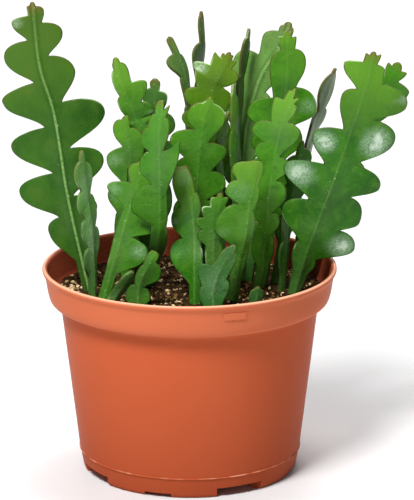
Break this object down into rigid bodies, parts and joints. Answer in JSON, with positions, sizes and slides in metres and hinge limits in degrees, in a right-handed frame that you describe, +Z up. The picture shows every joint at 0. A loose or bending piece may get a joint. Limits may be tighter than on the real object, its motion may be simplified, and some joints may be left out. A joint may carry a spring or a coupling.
{
  "type": "potted fishbone cactus",
  "caption": "Cluster of flat zig-zag fishbone cactus stems rising from soil in a round tapered plastic nursery pot with a deep rim band.",
  "frame": {"origin": "on the floor, under the middle of the plant's footprint, which is 9 mm to the +X side of the pot's axis", "axes": "+Z up; +X to the right of the picture; the picture is seen from the -Y side"},
  "size_m": [0.2078, 0.152, 0.246],
  "materials": {
    "pot_plastic": "satin terracotta-coloured plastic",
    "peat": "dry crumbly peat",
    "green_skin": "smooth, a little waxy",
    "olive_skin": "smooth, a little waxy",
    "grey_skin": "dull",
    "powdery_skin": "powdery"
  },
  "bodies": {
    "root": {"pot": "pot_plastic", "soil": "peat", "stem_tall_left": "green_skin", "stem_narrow_left": "powdery_skin", "stem_front_left": "green_skin", "stem_upper_left": "green_skin", "stem_shaded_left": "green_skin", "stem_mid_left": "green_skin", "stem_centre_left": "green_skin", "stem_thin_left": "grey_skin", "stem_thin_centre": "green_skin", "stem_olive_top": "olive_skin", "stem_centre_back": "green_skin", "stem_centre_front": "green_skin", "stem_small_curled": "green_skin", "stem_front_right": "green_skin", "stem_mid_right": "green_skin", "stem_grey_back": "grey_skin", "stem_bright_back": "green_skin", "stem_thin_middle": "green_skin", "stem_thin_front": "green_skin", "stem_thin_slanted": "green_skin", "stem_broad_right": "green_skin", "stem_behind_right": "green_skin", "stem_wavy_right": "grey_skin", "stem_small_right": "green_skin", "stem_low_powdery": "powdery_skin", "sprout_low_left": "green_skin", "sprout_blade": "green_skin", "sprout_bluish": "powdery_skin", "stem_shaded_right": "green_skin", "stem_shaded_middle": "green_skin"}
  },
  "joints": []
}
